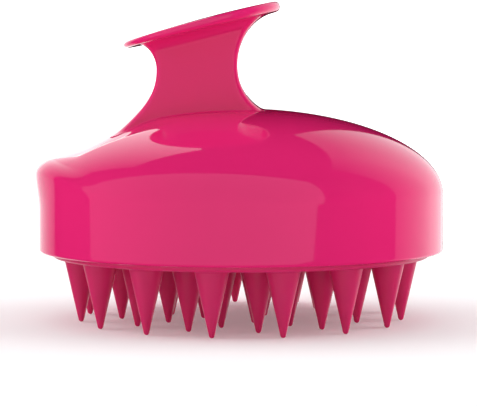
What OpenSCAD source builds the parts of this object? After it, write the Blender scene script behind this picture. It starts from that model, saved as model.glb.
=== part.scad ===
// Hand-held scalp massager brush: a hollow domed body with an offset T handle,
// and a pull-off silicone bristle head. Millimetres, +Z up.
// The origin is on the axis of the round body, in the plane of the bristle tips.
// -X is the thumb-rest side, +X is the raised end of the palm plate.

/* [Body] */
// Outer diameter of the round body
body_d = 85; // [82:0.5:90]
// Height of the straight side wall
wall_h = 12; // [11.5:0.1:14]
// Rise of the dome above the side wall
dome_rise = 17.85; // [17:0.05:19]
// Thickness of the side wall
wall_t = 2.4; // [2:0.1:2.8]

/* [Thumb rest] */
// How far the lip bulges out past the side wall
lip_bulge = 0.7; // [0.3:0.1:1.2]
// Radius of the rounded lip
lip_round = 3.5; // [2.5:0.1:4]
// Fall of the thumb rest per millimetre outwards
rest_slope = 0.3; // [0.28:0.005:0.36]
// Half-angle of the lip round the body at its top, in degrees
lip_half_angle = 25; // [20:1:28]

/* [Handle] */
// Width of the stem at its waist, left to right
waist_w = 16.8; // [15:0.1:19]
// Depth of the stem at its waist, front to back
waist_d = 17.6; // [15:0.1:19]
// Centre of the waist, left of the body axis
waist_offset = 9.1; // [8:0.05:11]
// Height of the waist above the bristle tips
waist_z = 53.2; // [52:0.1:54]
// Length of the palm plate along its tilt
plate_l = 33.9; // [32:0.1:36]
// Width of the palm plate, front to back
plate_w = 37.4; // [34:0.1:40]
// Thickness of the palm plate at its edge, at the middle of its length
plate_t = 1.75; // [1.5:0.05:2]
// Share by which the plate thickens towards its raised end and thins towards its low end
plate_taper = 0.22; // [0:0.01:0.3]

/* [Bristles] */
// Free length of a bristle
bristle_l = 13.5; // [12:0.5:15]
// Diameter of a bristle at its root
bristle_d = 7.1; // [6:0.1:7.4]
// Radius of the rounded bristle tip
tip_r = 0.6; // [0.5:0.05:0.9]
// Number of bristles in the outer ring
outer_count = 15; // [12:1:16]
// Radius of the outer ring of bristles
outer_ring_r = 33.8; // [33:0.1:34.5]

/* [Hidden] */

gloss_pink = "#D81E68";
silicone_pink = "#C81E64";
carrier_pink = "#B01850";
screw_steel = "#B8BCC2";

// body levels and radii
body_r = body_d / 2;
pad_drop = 1.2;
rim_z = bristle_l + pad_drop;
shoulder_z = rim_z + wall_h;
cavity_r = body_r - wall_t;
cavity_rise = dome_rise - 3.6;
rim_round = 0.6;

// thumb rest: a straight ramp that ends in a rounded lip
lip_foot_z = shoulder_z - 3;
lip_centre_r = body_r - lip_round;
lip_centre_z = shoulder_z + 4.2;
ramp_angle = atan(rest_slope);
ramp_start_r = lip_centre_r + lip_round * sin(ramp_angle);
ramp_start_z = lip_centre_z + lip_round * cos(ramp_angle);
shoulder_angle = acos(ramp_start_r / body_r);
lip_foot_angle = 45;
lip_foot_blend = 28;
lip_top_blend = 15;
lip_bulge_turn = 26;
rest_edge_in = 3;
rest_edge_blend = 2.5;
rest_fade_r = 18;
rest_fade_l = 16;

// stem flares: half-axes of the four quarter ellipses, as [sideways, upwards]
left_low = [14.2, 14.2];
left_high = [5, 5.6];
right_low = [7, 10.2];
right_high = [10.1, 11.5];
waist_left = [-waist_offset - waist_w / 2, waist_z - 0.5];
waist_right = [-waist_offset + waist_w / 2, waist_z + 0.5];
left_low_angle = 70;
right_low_angle = 76;
high_angle = 70;
waist_corner = 1.2;
flare_corner = 2.8;
top_fillet = 2;
stem_floor_z = 46;

// palm plate frame: its underside runs through the top ends of the two flares
top_left = flare(waist_left, left_high, -1, high_angle);
top_right = flare(waist_right, right_high, 1, high_angle);
plate_tilt = atan2(top_right[1] - top_left[1], top_right[0] - top_left[0]);
plate_x = -waist_offset + 1.05;
plate_z = top_left[1] + (plate_x - top_left[0]) * tan(plate_tilt);
plate_crown = 0.45;

// hollow of the stem, the plate's spigot and the two screws
core_w = 12.5;
spigot_w = 11.9;
spigot_gap = 0.1;
spigot_h = 4.5;
spigot_wall = 1.6;
spigot_x = -waist_offset;
spigot_z = top_left[1] + (spigot_x - top_left[0]) * tan(plate_tilt);
screw_pitch = 7.2;
screw_seat_z = 39.6;
screw_l = 11;
screw_d = 3;
pilot_d = 2.6;
screw_hole_d = 3.4;
screw_head_d = 5.6;
screw_head_h = 2.2;
boss_d = 6.6;
boss_top_z = 51.5;

// bristle head
pad_r = cavity_r - 0.3;
pad_t = 2.2;
pad_top_z = bristle_l + 4.7;
carrier_r = pad_r - 2.4;
carrier_z = bristle_l + pad_t;
collar_r = cavity_r - 1.2;
collar_inner_r = collar_r - 2.3;
collar_top_z = pad_top_z + 5.1;
bead_z = pad_top_z + 2.8;
bead_r = cavity_r - 0.95;
stop_count = 8;
stop_z = collar_top_z + 0.3;

shell_turns = 96;
fine = 96;

// ---------- curves and surfaces ----------

function mix(a, b, w) = a + (b - a) * w;

function ease(t) = let(c = min(max(t, 0), 1)) c * c * (3 - 2 * c);

// Height of the plain dome at radius r
function dome_z(r) = shoulder_z + dome_rise * sqrt(max(0, 1 - pow(r / body_r, 2)));

// How strongly the thumb rest shows: turn is the angle from the -X direction
function rest_weight(turn, r) =
    let(inward = max(0, ramp_start_r - r),
        past_edge = inward - rest_edge_in,
        middle = lip_half_angle + 0.9 * inward,
        narrowing = (lip_top_blend - rest_edge_blend) / rest_edge_in,
        half = rest_edge_blend + max(-narrowing * past_edge, 0.8 * past_edge))
    ease((middle + half - turn) / (2 * half)) * ease((r - rest_fade_r) / rest_fade_l);

// The same on the outside of the lip, for v from 0 at its foot to 1 at its top
function lip_weight(turn, v) =
    let(middle = mix(lip_foot_angle, lip_half_angle, v),
        half = mix(lip_foot_blend, lip_top_blend, v))
    ease((middle + half - turn) / (2 * half));

// How far the lip bulges out past the wall
function bulge(turn, v) = lip_bulge * ease(1 - turn / lip_bulge_turn) * ease(2 * min(v, 1 - v));

// Angle between an azimuth and the -X direction
function turn_from_rest(azimuth) = abs(180 - (azimuth % 360));

// Height of the finished top surface above a point x, y inside the lip
function top_z(x, y) =
    let(r = norm([x, y]),
        w = rest_weight(turn_from_rest((atan2(y, x) + 360) % 360), r))
    mix(dome_z(r), ramp_start_z + rest_slope * (ramp_start_r - r), w);

// Plain shoulder and upright lip, each as [radius, height] for v from 0 to 1
function plain_shoulder(v) =
    v < 0.35
        ? [body_r, mix(lip_foot_z, shoulder_z, v / 0.35)]
        : let(a = shoulder_angle * (v - 0.35) / 0.65)
          [body_r * cos(a), shoulder_z + dome_rise * sin(a)];

function upright_lip(v) =
    v < 0.5
        ? [body_r, mix(lip_foot_z, lip_centre_z, v / 0.5)]
        : let(a = (90 - ramp_angle) * (v - 0.5) / 0.5)
          [lip_centre_r + lip_round * cos(a), lip_centre_z + lip_round * sin(a)];

// One meridian of the body from the lower edge to just short of the apex
function meridian(azimuth) =
    let(turn = turn_from_rest(azimuth))
    concat(
        [for (a = [-90 : 30 : 0])
            [body_r - rim_round * (1 - cos(a)), rim_z + rim_round * (1 + sin(a))]],
        [for (v = [0 : 0.1 : 1.01])
            mix(plain_shoulder(v), upright_lip(v), lip_weight(turn, v)) + [bulge(turn, v), 0]],
        [for (i = [1 : 14])
            let(r = body_r * cos(mix(shoulder_angle, 88, i / 14)))
            [r, top_z(r * cos(azimuth), r * sin(azimuth))]]);

// Closed solid from equal rings of points, bottom to top, with an end point each
module ring_solid(rings, low_point, high_point) {
    n = len(rings[0]);
    m = len(rings);
    points = concat([for (ring = rings) each ring], [low_point, high_point]);
    sides = [for (k = [0 : m - 2], j = [0 : n - 1])
        let(a = k * n + j, b = k * n + (j + 1) % n)
        each [[a, a + n, b + n], [a, b + n, b]]];
    low_cap = [for (j = [0 : n - 1]) [n * m, j, (j + 1) % n]];
    high_cap = [for (j = [0 : n - 1])
        [n * m + 1, (m - 1) * n + (j + 1) % n, (m - 1) * n + j]];
    polyhedron(points, concat(sides, low_cap, high_cap), convexity = 4);
}

module body_form() {
    lines = [for (j = [0 : shell_turns - 1]) meridian(j * 360 / shell_turns)];
    rings = [for (k = [0 : len(lines[0]) - 1])
        [for (j = [0 : shell_turns - 1])
            let(a = j * 360 / shell_turns, p = lines[j][k])
            [p[0] * cos(a), p[0] * sin(a), p[1]]]];
    ring_solid(rings, [0, 0, rim_z], [0, 0, dome_z(0)]);
}

// ---------- handle stem ----------

// Point on a quarter-ellipse flare that leaves the waist vertically
function flare(waist, axes, side, angle) =
    [waist[0] + side * axes[0] * (1 - cos(angle)), waist[1] + axes[1] * sin(angle)];

function stem_left(s) =
    s < 0 ? flare(waist_left, left_low, -1, left_low_angle * s)
          : flare(waist_left, left_high, -1, high_angle * s);

function stem_right(s) =
    s < 0 ? flare(waist_right, right_low, 1, right_low_angle * s)
          : flare(waist_right, right_high, 1, high_angle * s);

// Rounded rectangle of unit-spaced stations: centre, half sizes and corner radius
function rounded_outline(hx, hy, c) = concat(
    [for (i = [-3 : 3]) [hx, (hy - c) * i / 4]],
    [for (a = [0 : 15 : 90]) [hx - c + c * cos(a), hy - c + c * sin(a)]],
    [for (i = [-5 : 5]) [-(hx - c) * i / 6, hy]],
    [for (a = [90 : 15 : 180]) [-hx + c + c * cos(a), hy - c + c * sin(a)]],
    [for (i = [-3 : 3]) [-hx, -(hy - c) * i / 4]],
    [for (a = [180 : 15 : 270]) [-hx + c + c * cos(a), -hy + c + c * sin(a)]],
    [for (i = [-5 : 5]) [(hx - c) * i / 6, -hy]],
    [for (a = [270 : 15 : 360]) [hx - c + c * cos(a), -hy + c + c * sin(a)]]);

// One section of the stem, s from -1 on the dome to 1 under the palm plate
function stem_ring(s, shrink = 1) =
    let(l = stem_left(s),
        r = stem_right(s),
        low_l = stem_left(-1),
        low_r = stem_right(-1),
        middle = (l[0] + r[0]) / 2,
        corner = mix(waist_corner, flare_corner, pow(abs(s), 2)),
        hy = waist_d / 2 + top_fillet * pow(max(0, (s - 0.5) / 0.5), 2),
        sink = ease(-s))
    [for (p = rounded_outline((r[0] - l[0]) / 2, hy, corner))
        let(x = middle + p[0] * shrink,
            y = p[1] * shrink,
            u = (x - l[0]) / (r[0] - l[0]),
            low_u = (x - low_l[0]) / (low_r[0] - low_l[0]))
        [x, y, mix(l[1], r[1], u) + sink * (top_z(x, y) - mix(low_l[1], low_r[1], low_u))]];

module stem_form() {
    low_middle = (stem_left(-1)[0] + stem_right(-1)[0]) / 2;
    high_middle = (stem_left(1) + stem_right(1)) / 2;
    rings = concat(
        [for (shrink = [0.2 : 0.2 : 0.81]) stem_ring(-1, shrink)],
        [for (i = [-12 : 12]) stem_ring(i / 12)]);
    ring_solid(rings, [low_middle, 0, top_z(low_middle, 0)],
        [high_middle[0], 0, high_middle[1]]);
}

module at_screws() {
    for (side = [-1, 1]) translate([-waist_offset + side * screw_pitch / 2, 0, 0]) children();
}

module in_plate_frame(x, z) {
    translate([x, 0, z]) rotate([0, -plate_tilt, 0]) children();
}

// ---------- shell body ----------

// Domed outer body with its thumb rest, hollow and open below
module dome_shell() {
    color(gloss_pink) difference() {
        union() {
            difference() {
                body_form();
                body_cavity();
            }
            at_screws() translate([0, 0, screw_seat_z]) cylinder(d = boss_d, h = 3, $fn = 48);
            stop_ribs();
        }
        at_screws() translate([0, 0, screw_seat_z - 1]) cylinder(d = screw_hole_d, h = 8, $fn = 32);
    }
}

module body_cavity() {
    rotate_extrude($fn = fine) polygon(concat(
        [[0, rim_z - 1], [cavity_r, rim_z - 1], [cavity_r, bead_z - 0.8],
         [bead_r, bead_z - 0.3], [bead_r, bead_z + 0.3], [cavity_r, bead_z + 0.8]],
        [for (a = [0 : 6 : 90]) [cavity_r * cos(a), shoulder_z + cavity_rise * sin(a)]]));
}

// Short ribs inside the wall that stop the bristle head when it is pushed home
module stop_ribs() {
    for (i = [0 : stop_count - 1]) rotate(i * 360 / stop_count + 22.5)
        translate([collar_inner_r + 0.6, -0.8, stop_z]) cube([cavity_r - collar_inner_r, 1.6, 6]);
}

// Hollow flared stem, with two screw bosses standing on its floor
module handle_stem() {
    color(gloss_pink) difference() {
        stem_form();
        difference() {
            translate([-waist_offset - core_w / 2, -core_w / 2, stem_floor_z])
                cube([core_w, core_w, 12]);
            at_screws() translate([0, 0, stem_floor_z - 1])
                cylinder(d = boss_d, h = boss_top_z - stem_floor_z + 1, $fn = 48);
        }
        in_plate_frame(spigot_x, spigot_z) spigot_block(spigot_w + 2 * spigot_gap, spigot_h + 0.3);
        at_screws() translate([0, 0, 42]) cylinder(d = pilot_d, h = 12, $fn = 32);
    }
}

module spigot_block(w, depth) {
    translate([-w / 2, -w / 2, -depth]) cube([w, w, depth + 0.8]);
}

// Tilted oval palm plate with a full-round edge and a hollow square spigot
module palm_plate() {
    color(gloss_pink) union() {
        in_plate_frame(plate_x, plate_z) plate_form();
        in_plate_frame(spigot_x, spigot_z) difference() {
            spigot_block(spigot_w, spigot_h);
            translate([0, 0, -0.8]) spigot_block(spigot_w - 2 * spigot_wall, spigot_h);
        }
    }
}

function plate_ring(inset, z) =
    [for (a = [0 : 5 : 355])
        let(x = (plate_l / 2 - inset) * cos(a))
        [x, (plate_w / 2 - inset) * sin(a), z * (1 + plate_taper * x / (plate_l / 2))]];

module plate_form() {
    round_r = plate_t / 2;
    rings = concat(
        [for (a = [-90 : 22.5 : 90])
            plate_ring(round_r * (1 - cos(a)), round_r * (1 + sin(a)))],
        [for (share = [0.25 : 0.25 : 0.76])
            plate_ring(mix(round_r, plate_l / 2, share), plate_t + plate_crown * (1 - pow(1 - share, 2)))]);
    ring_solid(rings, [0, 0, 0], [0, 0, plate_t + plate_crown]);
}

// Two self-tapping screws driven up from inside the dome into the stem
module handle_screws() {
    color(screw_steel) at_screws() {
        translate([0, 0, screw_seat_z - screw_head_h]) difference() {
            cylinder(d = screw_head_d, h = screw_head_h, $fn = 48);
            for (turn = [0, 90]) rotate(turn) translate([-1.6, -0.35, -1]) cube([3.2, 0.7, 2.2]);
        }
        translate([0, 0, screw_seat_z]) cylinder(d = screw_d, h = screw_l - 2, $fn = 32);
        translate([0, 0, screw_seat_z + screw_l - 2]) cylinder(d1 = screw_d, d2 = 1, h = 2, $fn = 32);
    }
}

// ---------- bristle head ----------

// Stiff disc inside the head, with the collar that snaps into the body
module carrier_plate() {
    color(carrier_pink) union() {
        rotate_extrude($fn = fine) polygon([
            [0, carrier_z], [carrier_r, carrier_z], [carrier_r, pad_top_z], [collar_r, pad_top_z],
            [collar_r, bead_z - 1.1], [collar_r - 0.6, bead_z - 0.6],
            [collar_r - 0.6, bead_z + 0.6], [collar_r, bead_z + 1.1],
            [collar_r, collar_top_z - 0.6], [collar_r - 0.6, collar_top_z],
            [collar_inner_r, collar_top_z], [collar_inner_r, pad_top_z], [0, pad_top_z]]);
        for (i = [0 : 5]) rotate(i * 60)
            translate([8, -0.8, pad_top_z - 0.5]) cube([collar_inner_r - 7.5, 1.6, 3]);
        translate([0, 0, pad_top_z - 0.5]) difference() {
            cylinder(r = 9, h = 3, $fn = 64);
            translate([0, 0, -1]) cylinder(r = 7.4, h = 5, $fn = 64);
        }
    }
}

// Silicone sheet that carries the bristles, with a rim that wraps the carrier edge
module bristle_pad() {
    color(silicone_pink) rotate_extrude($fn = fine) polygon(concat(
        [[0, bristle_l]],
        [for (a = [-90 : 22.5 : 0])
            [pad_r - 0.8 * (1 - cos(a)), bristle_l + 0.8 * (1 + sin(a))]],
        [[pad_r, pad_top_z], [carrier_r, pad_top_z], [carrier_r, carrier_z], [0, carrier_z]]));
}

// A cone that points down and ends in a round tip at z = 0
module bristle() {
    slope = atan((bristle_d / 2 - tip_r) / (bristle_l - tip_r));
    rotate_extrude($fn = 32) polygon(concat(
        [[0, bristle_l], [0, 0]],
        [for (i = [1 : 5])
            let(a = -90 + (90 - slope) * i / 5)
            [tip_r * cos(a), tip_r * (1 + sin(a))]],
        [[bristle_d / 2, bristle_l]]));
}

// Ring of bristles: first is the azimuth of the first one
module bristle_ring(count, r, first) {
    color(silicone_pink) for (i = [0 : count - 1])
        rotate(first + i * 360 / count) translate([r, 0, 0]) bristle();
}

module bristles_outer() { bristle_ring(outer_count, outer_ring_r, -99.8); }
module bristles_second() { bristle_ring(11, outer_ring_r - 8.6, -82); }
module bristles_third() { bristle_ring(7, outer_ring_r - 17.2, -104); }
module bristles_inner() { bristle_ring(3, outer_ring_r - 25.8, -70); }

dome_shell();
handle_stem();
palm_plate();
handle_screws();
carrier_plate();
bristle_pad();
bristles_outer();
bristles_second();
bristles_third();
bristles_inner();
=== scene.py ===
"""Scalp massager brush: the visual model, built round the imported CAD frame.

Metres, +Z up. The thumb rest is on -X, the raised end of the palm plate on +X,
and the camera looks along +Y.
"""
import math

import bpy
import numpy as np
from mathutils import Matrix, Vector


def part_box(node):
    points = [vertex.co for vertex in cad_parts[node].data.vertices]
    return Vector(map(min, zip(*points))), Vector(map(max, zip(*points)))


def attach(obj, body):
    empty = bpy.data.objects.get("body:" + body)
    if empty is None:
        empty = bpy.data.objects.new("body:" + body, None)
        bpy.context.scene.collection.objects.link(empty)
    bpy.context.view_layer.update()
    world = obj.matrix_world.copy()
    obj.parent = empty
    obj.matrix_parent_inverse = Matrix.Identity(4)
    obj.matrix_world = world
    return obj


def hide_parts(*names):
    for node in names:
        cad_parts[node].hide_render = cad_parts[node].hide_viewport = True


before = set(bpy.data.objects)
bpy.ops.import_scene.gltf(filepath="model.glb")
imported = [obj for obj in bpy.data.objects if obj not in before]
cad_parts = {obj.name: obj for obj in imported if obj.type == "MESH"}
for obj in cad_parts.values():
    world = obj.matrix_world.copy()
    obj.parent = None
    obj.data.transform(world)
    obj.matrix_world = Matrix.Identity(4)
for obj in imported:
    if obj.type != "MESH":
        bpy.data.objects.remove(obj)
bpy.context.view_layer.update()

MM = 0.001

# ---------------------------------------------------------------- sizes from the frame

SHELL_LO, SHELL_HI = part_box("dome_shell")
PAD_LO, PAD_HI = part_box("bristle_pad")

BODY_R = SHELL_HI.y
RIM_Z = SHELL_LO.z
APEX_Z = SHELL_HI.z
PAD_Z = PAD_LO.z
PAD_R = PAD_HI.y
PAD_TOP_Z = PAD_HI.z

# ---------------------------------------------------------------- sizes of the moulding

WALL_H = 12 * MM
SHOULDER_Z = RIM_Z + WALL_H
DOME_RISE = APEX_Z - SHOULDER_Z
WALL_T = 2.4 * MM
CROWN_T = 3.6 * MM
CAVITY_R = BODY_R - WALL_T
CAVITY_RISE = DOME_RISE - CROWN_T
BEAD_Z = PAD_TOP_Z + 2.8 * MM
BEAD_DEPTH = 0.95 * MM
BEAD_TOP_HALF = 0.3 * MM
BEAD_FOOT_HALF = 0.8 * MM
RIM_ROUND = 0.6 * MM

LIP_BULGE = 0.7 * MM
LIP_BULGE_TURN = 26
LIP_ROUND = 3.5 * MM
LIP_HALF_ANGLE = 25
LIP_FOOT_ANGLE = 45
LIP_FOOT_BLEND = 28
LIP_TOP_BLEND = 15
REST_SLOPE = 0.3
REST_EDGE_IN = 3
REST_EDGE_BLEND = 2.5
REST_FADE_R = 18 * MM
REST_FADE_L = 16 * MM
LIP_FOOT_Z = SHOULDER_Z - 3 * MM
LIP_CENTRE_R = BODY_R - LIP_ROUND
LIP_CENTRE_Z = SHOULDER_Z + 4.2 * MM
RAMP_ANGLE = math.atan(REST_SLOPE)
RAMP_START_R = LIP_CENTRE_R + LIP_ROUND * math.sin(RAMP_ANGLE)
RAMP_START_Z = LIP_CENTRE_Z + LIP_ROUND * math.cos(RAMP_ANGLE)
SHOULDER_ANGLE = math.acos(RAMP_START_R / BODY_R)

WAIST_W = 16.8 * MM
WAIST_D = 17.6 * MM
WAIST_X = -9.1 * MM
WAIST_Z = 53.2 * MM
LEFT_LOW = (14.2 * MM, 14.2 * MM, 70)
LEFT_HIGH = (5 * MM, 5.6 * MM, 70)
RIGHT_LOW = (7 * MM, 10.2 * MM, 76)
RIGHT_HIGH = (10.1 * MM, 11.5 * MM, 70)
WAIST_SHIFT = 0.5 * MM
WAIST_CORNER = 1.2 * MM
FLARE_CORNER = 2.8 * MM
TOP_FILLET = 2 * MM
FOOT_FILLET = 0.45 * MM

PLATE_L = 33.9 * MM
PLATE_W = 37.4 * MM
PLATE_T = 1.75 * MM
PLATE_TAPER = 0.22
PLATE_CROWN = 0.45 * MM
PLATE_X = WAIST_X + 1.05 * MM

RIB_IN_R = 37.2 * MM
RIB_SUNK = 0.4 * MM
RIB_W = 1.6 * MM
RIB_Z = (23.6 * MM, 29.6 * MM)
RIB_COUNT = 8
BOSS_R = 3.3 * MM
BOSS_HOLE_R = 1.7 * MM
BOSS_Z = 39.6 * MM
BOSS_H = 2 * MM
BOSS_ROOF = 0.2 * MM
SCREW_SPACING = 7.2 * MM

BRISTLE_D = 7.1 * MM
TIP_R = 0.6 * MM
PAD_EDGE_ROUND = 0.8 * MM
PAD_WALL_T = 2.4 * MM
PAD_FLOOR_T = 2.2 * MM
ROOT_FILLET = 0.5 * MM
RINGS = {
    "bristles_outer": (15, 33.8 * MM, -99.8),
    "bristles_second": (11, 25.2 * MM, -82),
    "bristles_third": (7, 16.6 * MM, -104),
    "bristles_inner": (3, 8.0 * MM, -70),
}

# ---------------------------------------------------------------- curves


def mix(a, b, w):
    return a + (b - a) * w


def ease(t):
    c = np.clip(t, 0, 1)
    return c * c * (3 - 2 * c)


def dome_z(r):
    return SHOULDER_Z + DOME_RISE * np.sqrt(np.maximum(0, 1 - (r / BODY_R) ** 2))


def rest_weight(turn, r):
    """How strongly the thumb rest shows, turn degrees away from -X at radius r."""
    inward = np.maximum(0, RAMP_START_R - r) / MM
    past_edge = inward - REST_EDGE_IN
    middle = LIP_HALF_ANGLE + 0.9 * inward
    narrowing = (LIP_TOP_BLEND - REST_EDGE_BLEND) / REST_EDGE_IN
    half = REST_EDGE_BLEND + np.maximum(-narrowing * past_edge, 0.8 * past_edge)
    return ease((middle + half - turn) / (2 * half)) * ease((r - REST_FADE_R) / REST_FADE_L)


def lip_weight(turn, v):
    """The same on the outside of the lip, for v from 0 at its foot to 1 at its top."""
    middle = mix(LIP_FOOT_ANGLE, LIP_HALF_ANGLE, v)
    half = mix(LIP_FOOT_BLEND, LIP_TOP_BLEND, v)
    return ease((middle + half - turn) / (2 * half))


def bulge(turn, v):
    """How far the lip bulges out past the wall."""
    return LIP_BULGE * ease(1 - turn / LIP_BULGE_TURN) * ease(2 * min(v, 1 - v))


def turn_from_rest(x, y):
    return np.degrees(np.arctan2(np.abs(y), -x))


def top_z(x, y):
    """Height of the dome, thumb rest included."""
    r = np.hypot(x, y)
    ramp_z = RAMP_START_Z + REST_SLOPE * (RAMP_START_R - r)
    return mix(dome_z(r), ramp_z, rest_weight(turn_from_rest(x, y), r))


def plain_shoulder(v):
    """Radius and height of the shoulder away from the lip, for v from 0 to 1."""
    a = SHOULDER_ANGLE * max(0, v - 0.35) / 0.65
    z = mix(LIP_FOOT_Z, SHOULDER_Z, min(1, v / 0.35)) + DOME_RISE * math.sin(a)
    return BODY_R * math.cos(a), z


def upright_lip(v):
    """The same where the wall goes straight up into the round top of the lip."""
    if v < 0.5:
        return BODY_R, mix(LIP_FOOT_Z, LIP_CENTRE_Z, v / 0.5)
    a = (math.pi / 2 - RAMP_ANGLE) * (v - 0.5) / 0.5
    return LIP_CENTRE_R + LIP_ROUND * math.cos(a), LIP_CENTRE_Z + LIP_ROUND * math.sin(a)


# ---------------------------------------------------------------- mesh helpers


def add_mesh(name, points, faces, smooth=True):
    mesh = bpy.data.meshes.new(name)
    mesh.from_pydata([tuple(p) for p in points], [], faces)
    mesh.validate()
    mesh.polygons.foreach_set("use_smooth", [smooth] * len(mesh.polygons))
    obj = bpy.data.objects.new(name, mesh)
    bpy.context.scene.collection.objects.link(obj)
    return obj


def ring_faces(rings, start=0):
    """Points and faces of a closed solid through equal rings, its end points averaged."""
    rings = np.asarray(rings)
    m, n = rings.shape[:2]
    points = np.vstack([rings.reshape(-1, 3), rings[0].mean(axis=0), rings[-1].mean(axis=0)])
    faces = []
    for k in range(m - 1):
        for j in range(n):
            a = start + k * n + j
            b = start + k * n + (j + 1) % n
            faces.append((a, b, b + n, a + n))
    last = start + (m - 1) * n
    low, high = start + m * n, start + m * n + 1
    for j in range(n):
        faces.append((low, start + (j + 1) % n, start + j))
        faces.append((high, last + j, last + (j + 1) % n))
    return points, faces


def ring_object(name, rings):
    return add_mesh(name, *ring_faces(rings))


def turned(profile, turns, centre=(0, 0)):
    """Rings of a surface of revolution from (radius, height) pairs."""
    a = np.linspace(0, 2 * math.pi, turns, endpoint=False)
    return [np.stack([centre[0] + r * np.cos(a), centre[1] + r * np.sin(a), np.full(turns, z)], axis=1)
            for r, z in profile]


def joined(name, solids, smooth=True):
    """One object from several solids, each given as its rings."""
    points, faces, start = [], [], 0
    for rings in solids:
        p, f = ring_faces(rings, start)
        points.append(p)
        faces += f
        start += len(p)
    return add_mesh(name, np.vstack(points), faces, smooth)


# ---------------------------------------------------------------- dome shell


def shell_rings(turns=360):
    """Rings down the inside of the shell, round its rim, and up its outside."""
    a = np.linspace(0, 2 * math.pi, turns, endpoint=False)
    ca, sa = np.cos(a), np.sin(a)
    turn = turn_from_rest(ca, sa)

    def ring(r, z):
        return np.stack([r * ca, r * sa, z * np.ones(turns)], axis=1)

    inside = [(CAVITY_R * math.cos(t), SHOULDER_Z + CAVITY_RISE * math.sin(t))
              for t in np.radians(np.linspace(88, 0, 30))]
    inside += [(CAVITY_R, BEAD_Z + BEAD_FOOT_HALF), (CAVITY_R - BEAD_DEPTH, BEAD_Z + BEAD_TOP_HALF),
               (CAVITY_R - BEAD_DEPTH, BEAD_Z - BEAD_TOP_HALF), (CAVITY_R, BEAD_Z - BEAD_FOOT_HALF)]
    inside += [(CAVITY_R, RIM_Z + 0.35 * MM), (CAVITY_R + 0.1 * MM, RIM_Z + 0.1 * MM),
               (CAVITY_R + 0.35 * MM, RIM_Z)]
    rings = [ring(r, z) for r, z in inside]
    for t in np.radians(np.linspace(-90, 0, 9)):
        rings.append(ring(BODY_R - RIM_ROUND * (1 - math.cos(t)), RIM_Z + RIM_ROUND * (1 + math.sin(t))))
    for z in np.linspace(RIM_Z + 1.2 * MM, LIP_FOOT_Z, 12)[:-1]:
        rings.append(ring(BODY_R, z))
    for v in np.linspace(0, 1, 49):
        (r0, z0), (r1, z1) = plain_shoulder(v), upright_lip(v)
        w = lip_weight(turn, v)
        rings.append(ring(mix(r0, r1, w) + bulge(turn, v), mix(z0, z1, w)))
    for t in np.linspace(SHOULDER_ANGLE, math.radians(89), 91)[1:]:
        r = BODY_R * math.cos(t)
        rings.append(ring(r, top_z(r * ca, r * sa)))
    return rings


def rib_rings(angle):
    """Upright stop rib on the inside of the wall, its outer end sunk into the wall."""
    c, s = math.cos(angle), math.sin(angle)
    out_r = CAVITY_R + RIB_SUNK
    corners = [(RIB_IN_R, -RIB_W / 2), (out_r, -RIB_W / 2), (out_r, RIB_W / 2), (RIB_IN_R, RIB_W / 2)]
    return [np.array([(c * x - s * y, s * x + c * y, z) for x, y in corners]) for z in RIB_Z]


def boss_rings(x):
    """Round boss for a screw, open below and sunk into the dome above."""
    top = BOSS_Z + BOSS_H
    profile = [(BOSS_HOLE_R, top - BOSS_ROOF), (BOSS_HOLE_R, BOSS_Z), (BOSS_R, BOSS_Z), (BOSS_R, top)]
    return turned(profile, 48, (x, 0))


def make_shell():
    shell = ring_object("dome_shell_moulding", shell_rings())
    ribs = joined("dome_stop_ribs", [rib_rings(2 * math.pi * (i + 0.5) / RIB_COUNT)
                                     for i in range(RIB_COUNT)], smooth=False)
    bosses = joined("dome_screw_bosses", [boss_rings(WAIST_X + side * SCREW_SPACING / 2)
                                          for side in (-1, 1)], smooth=False)
    for piece in (shell, ribs, bosses):
        finish_piece(piece, "shell", "gloss_pink", gloss_plastic(), "dome_shell")


# ---------------------------------------------------------------- handle


def flare(side, axes, s):
    """Point on a quarter-ellipse flare; s runs from 0 at the waist to 1 at its end."""
    a = math.radians(axes[2] * abs(s))
    x = WAIST_X + side * (WAIST_W / 2 + axes[0] * (1 - math.cos(a)))
    z = WAIST_Z + side * WAIST_SHIFT + math.copysign(axes[1] * math.sin(a), s)
    return np.array([x, z])


def stem_sides(s):
    """Left and right edge of the stem, for s from -1 at its foot to 1 at its top."""
    if s < 0:
        return flare(-1, LEFT_LOW, s), flare(1, RIGHT_LOW, s)
    return flare(-1, LEFT_HIGH, s), flare(1, RIGHT_HIGH, s)


TOP_LEFT, TOP_RIGHT = stem_sides(1)
PLATE_TILT = math.atan2(TOP_RIGHT[1] - TOP_LEFT[1], TOP_RIGHT[0] - TOP_LEFT[0])
PLATE_Z = TOP_LEFT[1] + (PLATE_X - TOP_LEFT[0]) * math.tan(PLATE_TILT)


def rounded_outline(hx, hy, c, side=24, corner=10):
    """Points and outward normals round a rectangle with round corners."""
    points, normals = [], []
    arcs = [(1, 1, 0), (-1, 1, 90), (-1, -1, 180), (1, -1, 270)]
    for i, (sx, sy, start) in enumerate(arcs):
        for a in np.radians(np.linspace(start, start + 90, corner)):
            n = np.array([math.cos(a), math.sin(a)])
            points.append(np.array([sx * (hx - c), sy * (hy - c)]) + c * n)
            normals.append(n)
        tx, ty, _ = arcs[(i + 1) % 4]
        end = np.array([tx * (hx - c), ty * (hy - c)]) + c * n
        first = points[-1]
        for t in np.linspace(0, 1, side + 2)[1:-1]:
            points.append(mix(first, end, t))
            normals.append(n)
    return np.array(points), np.array(normals)


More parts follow.
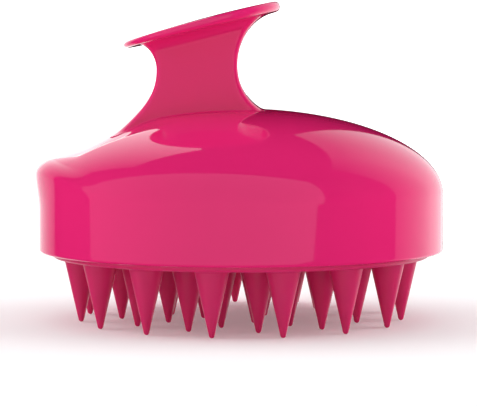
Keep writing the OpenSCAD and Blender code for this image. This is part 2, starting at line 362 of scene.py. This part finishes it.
def stem_ring(s, shrink=1.0):
    """Outline of the stem at s; the foot follows the dome, with a small fillet."""
    left, right = stem_sides(s)
    low_left, low_right = stem_sides(-1)
    hy = WAIST_D / 2 + TOP_FILLET * max(0, (s - 0.5) / 0.5) ** 2
    corner = mix(WAIST_CORNER, FLARE_CORNER, s * s)
    flat, normals = rounded_outline((right[0] - left[0]) / 2, hy, corner)
    x = (left[0] + right[0]) / 2 + flat[:, 0] * shrink
    y = flat[:, 1] * shrink
    u = (x - left[0]) / (right[0] - left[0])
    low_u = (x - low_left[0]) / (low_right[0] - low_left[0])
    sink = float(ease(-s))
    z = mix(left[1], right[1], u) + sink * (top_z(x, y) - mix(low_left[1], low_right[1], low_u))
    if shrink == 1:
        rise = np.clip((z - top_z(x, y)) / FOOT_FILLET, 0, 1)
        push = FOOT_FILLET * (1 - np.sqrt(1 - (1 - rise) ** 2))
        x = x + normals[:, 0] * push
        y = y + normals[:, 1] * push
        z = np.where(rise < 0.01, top_z(x, y), z)
    return np.stack([x, y, z], axis=1)


def make_stem():
    steps = np.concatenate([-1 + np.array([0, 0.002, 0.005, 0.01, 0.016, 0.024, 0.034, 0.046, 0.06, 0.08]),
                            np.linspace(-0.9, 0.5, 43), np.linspace(0.52, 1, 30)])
    rings = [stem_ring(-1, k) for k in (0.3, 0.6, 0.85)] + [stem_ring(s) for s in steps]
    stem = ring_object("handle_stem_moulding", rings)
    return finish_piece(stem, "shell", "gloss_pink", gloss_plastic(), "handle_stem")


def in_plate_frame(points):
    c, s = math.cos(PLATE_TILT), math.sin(PLATE_TILT)
    x, y, z = points[:, 0], points[:, 1], points[:, 2]
    return np.stack([PLATE_X + c * x - s * z, y, PLATE_Z + s * x + c * z], axis=1)


def make_palm_plate(turns=192):
    a = np.linspace(0, 2 * math.pi, turns, endpoint=False)
    half = PLATE_T / 2

    def ring(inset, z):
        x = (PLATE_L / 2 - inset) * np.cos(a)
        thick = z * (1 + PLATE_TAPER * x / (PLATE_L / 2))
        return in_plate_frame(np.stack([x, (PLATE_W / 2 - inset) * np.sin(a), thick], axis=1))

    rings = [ring(mix(PLATE_L / 2, half, t), 0) for t in (0.1, 0.4, 0.7, 0.9, 0.98)]
    rings += [ring(half * (1 - math.cos(t)), half * (1 + math.sin(t)))
              for t in np.radians(np.linspace(-90, 90, 17))]
    rings += [ring(mix(half, PLATE_L / 2, t), PLATE_T + PLATE_CROWN * (1 - (1 - t) ** 2))
              for t in np.linspace(0, 0.98, 25)[1:]]
    plate = ring_object("palm_plate_moulding", rings)
    return finish_piece(plate, "shell", "gloss_pink", gloss_plastic(), "palm_plate")


# ---------------------------------------------------------------- silicone head


def make_pad():
    """Flat dish: a round lower edge, an upright wall and a recess above."""
    edge = [(PAD_R - PAD_EDGE_ROUND * (1 - math.cos(t)), PAD_Z + PAD_EDGE_ROUND * (1 + math.sin(t)))
            for t in np.radians(np.linspace(-90, 0, 9))]
    inner_r, inner_z = PAD_R - PAD_WALL_T, PAD_Z + PAD_FLOOR_T
    profile = [(1 * MM, PAD_Z), (20 * MM, PAD_Z), (PAD_R - 1.2 * MM, PAD_Z)] + edge
    profile += [(PAD_R, PAD_TOP_Z - 0.2 * MM), (PAD_R - 0.2 * MM, PAD_TOP_Z),
                (inner_r + 0.1 * MM, PAD_TOP_Z), (inner_r, PAD_TOP_Z - 0.1 * MM),
                (inner_r, inner_z + 0.1 * MM), (inner_r - 0.1 * MM, inner_z), (1 * MM, inner_z)]
    pad = ring_object("silicone_pad", turned(profile, 256))
    return finish_piece(pad, "brush_head", "silicone_pink", silicone(), "bristle_pad")


def bristle_profile():
    """Tip to root: round tip, straight cone, small fillet into the pad."""
    slope = math.atan((BRISTLE_D / 2 - TIP_R) / (PAD_Z - TIP_R))
    tip = [(TIP_R * math.cos(a), TIP_R * (1 + math.sin(a)))
           for a in np.linspace(math.radians(-84), -slope, 8)]
    r0, z0 = tip[-1]
    cone = [(mix(r0, BRISTLE_D / 2 - 0.1 * MM, t), mix(z0, PAD_Z - ROOT_FILLET, t))
            for t in np.linspace(0, 1, 12)[1:]]
    root = [(BRISTLE_D / 2 - 0.1 * MM + ROOT_FILLET * (1 - math.cos(a)),
             PAD_Z - ROOT_FILLET * (1 - math.sin(a))) for a in np.radians(np.linspace(0, 90, 7))[1:]]
    return tip + cone + root + [(BRISTLE_D / 2, PAD_Z + 0.3 * MM), (0.3 * MM, PAD_Z + 0.3 * MM)]


def make_bristles(node, count, ring_r, first):
    solids = []
    for i in range(count):
        a = math.radians(first + 360 * i / count)
        solids.append(turned(bristle_profile(), 48, (ring_r * math.cos(a), ring_r * math.sin(a))))
    obj = joined(node + "_silicone", solids)
    return finish_piece(obj, "brush_head", "silicone_pink", silicone(), node)


# ---------------------------------------------------------------- materials


class Nodes:
    """Short calls for building one material's node tree."""

    def __init__(self, name):
        self.material = bpy.data.materials.new(name)
        self.material.use_nodes = True
        self.tree = self.material.node_tree
        self.shader = self.tree.nodes["Principled BSDF"]

    def add(self, kind, **values):
        node = self.tree.nodes.new(kind)
        for key, value in values.items():
            if key in node.inputs:
                node.inputs[key].default_value = value
            else:
                setattr(node, key, value)
        return node

    def link(self, output, target):
        self.tree.links.new(output, target)

    def set(self, **values):
        for key, value in values.items():
            self.shader.inputs[key.replace("_", " ")].default_value = value


def noise_node(m, coords, scale, detail=2.0, rough=0.5):
    node = m.add("ShaderNodeTexNoise", Scale=scale, Detail=detail, Roughness=rough)
    m.link(coords, node.inputs["Vector"])
    return node.outputs["Fac"]


def ranged(m, value, low, high, from_low=0.0, from_high=1.0):
    node = m.add("ShaderNodeMapRange")
    node.inputs["From Min"].default_value = from_low
    node.inputs["From Max"].default_value = from_high
    node.inputs["To Min"].default_value = low
    node.inputs["To Max"].default_value = high
    m.link(value, node.inputs["Value"])
    return node.outputs["Result"]


def tinted(m, factor, low, high):
    node = m.add("ShaderNodeMix", data_type="RGBA")
    node.inputs[6].default_value = (*low, 1)
    node.inputs[7].default_value = (*high, 1)
    m.link(factor, node.inputs[0])
    return node.outputs[2]


def bumped(m, heights):
    """Chain of bumps: (height output, distance in metres, strength)."""
    normal = None
    for height, distance, strength in heights:
        node = m.add("ShaderNodeBump", Distance=distance, Strength=strength)
        m.link(height, node.inputs["Height"])
        if normal:
            m.link(normal, node.inputs["Normal"])
        normal = node.outputs["Normal"]
    m.link(normal, m.shader.inputs["Normal"])


_made = {}


def once(build):
    def call():
        if build.__name__ not in _made:
            _made[build.__name__] = build()
        return _made[build.__name__]
    return call


@once
def gloss_plastic():
    """Polished ABS: deep pink, faint mould flow, very fine handling marks."""
    m = Nodes("gloss_pink_abs")
    coords = m.add("ShaderNodeTexCoord").outputs["Object"]
    flow = noise_node(m, coords, 45, 3)
    m.link(tinted(m, flow, (0.765, 0.0175, 0.158), (0.805, 0.0205, 0.172)), m.shader.inputs["Base Color"])
    marks = noise_node(m, coords, 900, 4, 0.7)
    m.link(ranged(m, marks, 0.035, 0.075, 0.3, 0.7), m.shader.inputs["Roughness"])
    bumped(m, [(noise_node(m, coords, 60, 1), 0.00004, 0.06)])
    m.set(IOR=1.5, Coat_Weight=0.15, Coat_Roughness=0.02)
    return m.material


@once
def silicone():
    """Satin silicone, slightly translucent, with a soft dusty surface."""
    m = Nodes("silicone_pink")
    coords = m.add("ShaderNodeTexCoord").outputs["Object"]
    cloud = noise_node(m, coords, 120, 3)
    m.link(tinted(m, cloud, (0.62, 0.012, 0.12), (0.70, 0.02, 0.15)), m.shader.inputs["Base Color"])
    grain = noise_node(m, coords, 2500, 3, 0.6)
    m.link(ranged(m, grain, 0.30, 0.42, 0.3, 0.7), m.shader.inputs["Roughness"])
    bumped(m, [(grain, 0.00003, 0.25)])
    m.set(IOR=1.41, Subsurface_Weight=0.25, Subsurface_Scale=0.002)
    m.shader.inputs["Subsurface Radius"].default_value = (1.0, 0.25, 0.35)
    return m.material


@once
def matte_plastic():
    """Fine spark-eroded ABS of the carrier plate."""
    m = Nodes("carrier_matte_abs")
    coords = m.add("ShaderNodeTexCoord").outputs["Object"]
    m.link(tinted(m, noise_node(m, coords, 80, 3), (0.42, 0.008, 0.08), (0.48, 0.012, 0.10)),
           m.shader.inputs["Base Color"])
    grain = noise_node(m, coords, 3500, 3, 0.6)
    m.link(ranged(m, grain, 0.45, 0.62, 0.3, 0.7), m.shader.inputs["Roughness"])
    bumped(m, [(grain, 0.00003, 0.5)])
    return m.material


@once
def screw_steel():
    """Bright zinc-plated steel with fine turning marks."""
    m = Nodes("screw_steel")
    coords = m.add("ShaderNodeTexCoord").outputs["Object"]
    marks = m.add("ShaderNodeMapping")
    marks.inputs["Scale"].default_value = (300, 300, 6000)
    m.link(coords, marks.inputs["Vector"])
    lines = noise_node(m, marks.outputs["Vector"], 1, 2)
    m.link(tinted(m, lines, (0.56, 0.57, 0.60), (0.68, 0.69, 0.71)), m.shader.inputs["Base Color"])
    m.link(ranged(m, lines, 0.22, 0.36), m.shader.inputs["Roughness"])
    bumped(m, [(lines, 0.00002, 0.3)])
    m.set(Metallic=1.0)
    return m.material


def paint(obj, material):
    obj.data.materials.clear()
    obj.data.materials.append(material)


def finish_piece(obj, body, slot, material, *nodes):
    paint(obj, material)
    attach(obj, body)
    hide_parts(*nodes)
    return obj


# ---------------------------------------------------------------- stage, light, camera


def direction(azimuth, elevation):
    """Unit vector; azimuth 0 points at the camera (-Y) and grows towards +X."""
    a, e = math.radians(azimuth), math.radians(elevation)
    return np.array([math.sin(a) * math.cos(e), -math.cos(a) * math.cos(e), math.sin(e)])


AIM = np.array([0, 0, 28 * MM])
LIGHT_DISTANCE = 3.0
FLOOR_R = 4.0
FLOOR_T = 0.004
CAMERA_PLACE = (-0.0005, -0.460, 0.053)
CAMERA_TARGET = (-0.0005, 0, 0.0245)
CAMERA_LENS = 164.7


def light_box(name, azimuth, elevation, roll, across, up, brightness, fade_across=None, fade_up=None):
    """Flat light box that faces the object. across and up are its edges as tangents, seen from AIM.

    A fade is (from, to, low, high): the brightness factor goes from low to high between two such
    tangents.
    """
    out = direction(azimuth, elevation)
    side = direction(azimuth + 90, 0)
    rise = np.cross(out, side)
    c, s = math.cos(roll), math.sin(roll)
    side, rise = side * c - rise * s, rise * c + side * s
    data = bpy.data.lights.new(name, "AREA")
    data.shape = "RECTANGLE"
    data.size = LIGHT_DISTANCE * (across[1] - across[0])
    data.size_y = LIGHT_DISTANCE * (up[1] - up[0])
    data.energy = brightness * math.pi * data.size * data.size_y
    light = bpy.data.objects.new(name, data)
    light.location = AIM + LIGHT_DISTANCE * (out + side * sum(across) / 2 + rise * sum(up) / 2)
    light.rotation_mode = "QUATERNION"
    light.rotation_quaternion = Matrix(np.stack([side, rise, out], axis=1).tolist()).to_quaternion()
    light.visible_camera = False
    bpy.context.scene.collection.objects.link(light)
    fade_light(data, [(0, across, fade_across), (1, up, fade_up)])
    return light


def fade_light(data, fades):
    """Brightness ramps over a light box; each fade is (axis, (first edge, last edge), fade)."""
    data.use_nodes = True
    tree = data.node_tree
    place = tree.nodes.new("ShaderNodeSeparateXYZ")
    tree.links.new(tree.nodes.new("ShaderNodeNewGeometry").outputs["Parametric"], place.inputs[0])
    strength = None
    for axis, (first, last), fade in fades:
        if fade is None:
            continue
        ramp = tree.nodes.new("ShaderNodeMapRange")
        width = last - first
        ends = [(fade[0] - first) / width, (fade[1] - first) / width, fade[2], fade[3]]
        for key, value in zip(("From Min", "From Max", "To Min", "To Max"), ends):
            ramp.inputs[key].default_value = value
        tree.links.new(place.outputs[axis], ramp.inputs["Value"])
        if strength:
            product = tree.nodes.new("ShaderNodeMath")
            product.operation = "MULTIPLY"
            tree.links.new(strength, product.inputs[0])
            tree.links.new(ramp.outputs["Result"], product.inputs[1])
            strength = product.outputs[0]
        else:
            strength = ramp.outputs["Result"]
    if strength:
        tree.links.new(strength, tree.nodes["Emission"].inputs["Strength"])


def plain_material(name, colour, rough=0.9):
    m = Nodes(name)
    m.set(Base_Color=(*colour, 1), Roughness=rough, Emission_Color=(*colour, 1))
    return m


def make_stage():
    """A pale floor that glows gently towards its edge, so that it meets the backdrop smoothly."""
    floor_profile = [(0.01, -FLOOR_T), (FLOOR_R, -FLOOR_T), (FLOOR_R, 0.0), (0.01, 0.0)]
    floor = ring_object("floor", turned(floor_profile, 96))
    m = plain_material("pale_floor", (0.86, 0.86, 0.865))
    place = m.add("ShaderNodeVectorMath", operation="LENGTH")
    m.link(m.add("ShaderNodeTexCoord").outputs["Object"], place.inputs[0])
    m.link(ranged(m, place.outputs["Value"], 0.2, 1.0, 0.05, 0.9), m.shader.inputs["Emission Strength"])
    m.set(Specular_IOR_Level=0.1)
    paint(floor, m.material)
    backdrop = ring_object("backdrop", turned([(0.05, 3.2), (2.6, 2.6), (3.9, 1.2), (3.9, -0.3)], 96))
    sky = plain_material("pale_backdrop", (0.84, 0.84, 0.85))
    sky.set(Emission_Strength=1.3)
    paint(backdrop, sky.material)
    for stage in (floor, backdrop):
        stage.visible_glossy = False
    backdrop.visible_diffuse = False
    backdrop.visible_shadow = False


def make_world(level):
    """Even light for diffuse surfaces only; the gloss mirrors the boxes and darkness between them."""
    world = bpy.data.worlds.new("studio")
    world.use_nodes = True
    world.node_tree.nodes["Background"].inputs["Color"].default_value = (level, level, level, 1)
    world.cycles_visibility.glossy = False
    bpy.context.scene.world = world


def make_lights():
    """Boxes that only the gloss mirrors, and soft fills that only light the colour."""
    make_world(0.25)
    mirrored = [
        light_box("front_box", -24, 10.8, math.radians(-13), (-2.75, 2.75), (-0.9, 2.2), 1.0,
                  (-2.7, 1.5, 0.4, 0.63)),
        light_box("right_box", 112, 0, math.radians(5), (-0.29, 1.5), (-0.7, 1.77), 1.0,
                  (-0.33, 0.4, 0.33, 1.38), (0.0, 1.55, 1.0, 0.25)),
        light_box("left_box", -150, 0, math.radians(8), (-0.5, 0.39), (-0.7, 1.75), 1.0,
                  (-0.5, 0.39, 1.75, 0.3), (0.3, 1.7, 1.0, 0.8)),
    ]
    for light in mirrored:
        light.visible_diffuse = False
        light.visible_shadow = False
    fills = [("left_fill", -98, 24, 2.45), ("right_fill", 93, 24, 2.3), ("back_fill", 180, 55, 1.0),
             ("top_fill", -8, 62, 0.6), ("front_fill", -8, 10, 0.35)]
    for name, azimuth, elevation, brightness in fills:
        fill = light_box(name, azimuth, elevation, 0, (-0.5, 0.5), (-0.4, 0.5), brightness)
        fill.visible_glossy = False


def make_camera():
    data = bpy.data.cameras.new("camera")
    data.sensor_width = 36
    data.lens = CAMERA_LENS
    data.clip_start = 0.01
    data.clip_end = 20
    camera = bpy.data.objects.new("camera", data)
    camera.location = CAMERA_PLACE
    camera.rotation_mode = "QUATERNION"
    view = Vector(CAMERA_TARGET) - camera.location
    camera.rotation_quaternion = view.to_track_quat("-Z", "Y")
    bpy.context.scene.collection.objects.link(camera)
    bpy.context.scene.camera = camera


# ---------------------------------------------------------------- scene

make_camera()
make_shell()
make_stem()
make_palm_plate()
make_pad()
for ring_node, ring_facts in RINGS.items():
    make_bristles(ring_node, *ring_facts)
paint(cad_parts["carrier_plate"], matte_plastic())
paint(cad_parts["handle_screws"], screw_steel())
make_stage()
make_lights()
bpy.context.scene.view_settings.view_transform = "Standard"
